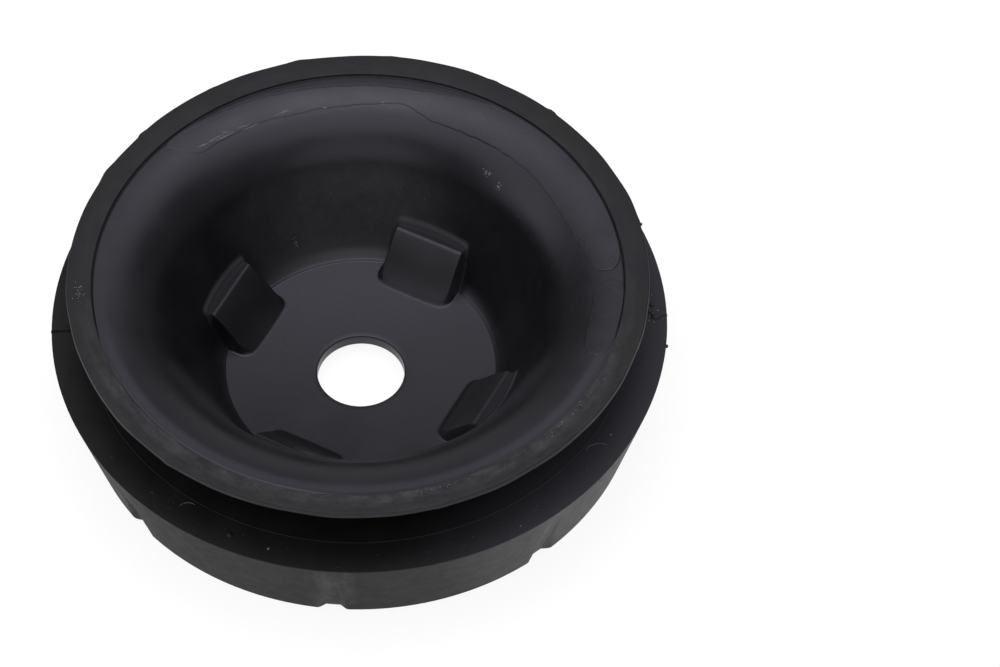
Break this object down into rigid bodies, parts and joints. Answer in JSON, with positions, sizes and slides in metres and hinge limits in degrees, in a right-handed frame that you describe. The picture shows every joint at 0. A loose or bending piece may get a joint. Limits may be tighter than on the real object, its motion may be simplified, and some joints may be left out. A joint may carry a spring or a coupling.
{
  "type": "strut mount",
  "caption": "Round strut mount for a car: a rubber ring with a fluted wall and a panel groove, bonded to a pressed steel cup with centring pads and a rod hole.",
  "frame": {"origin": "centre of the rubber ring's foot, on the surface that the mount rests on", "axes": "+Z along the rod hole, out of the open bowl; a centring pad lies 62.5 degrees from +X"},
  "size_m": [0.126, 0.126, 0.0357],
  "materials": {
    "coated_steel": "satin black coat",
    "moulded_rubber": "matte moulded rubber with dusty edges"
  },
  "bodies": {
    "root": {"steel_cup": "coated_steel", "rubber_body": "moulded_rubber"}
  },
  "joints": []
}
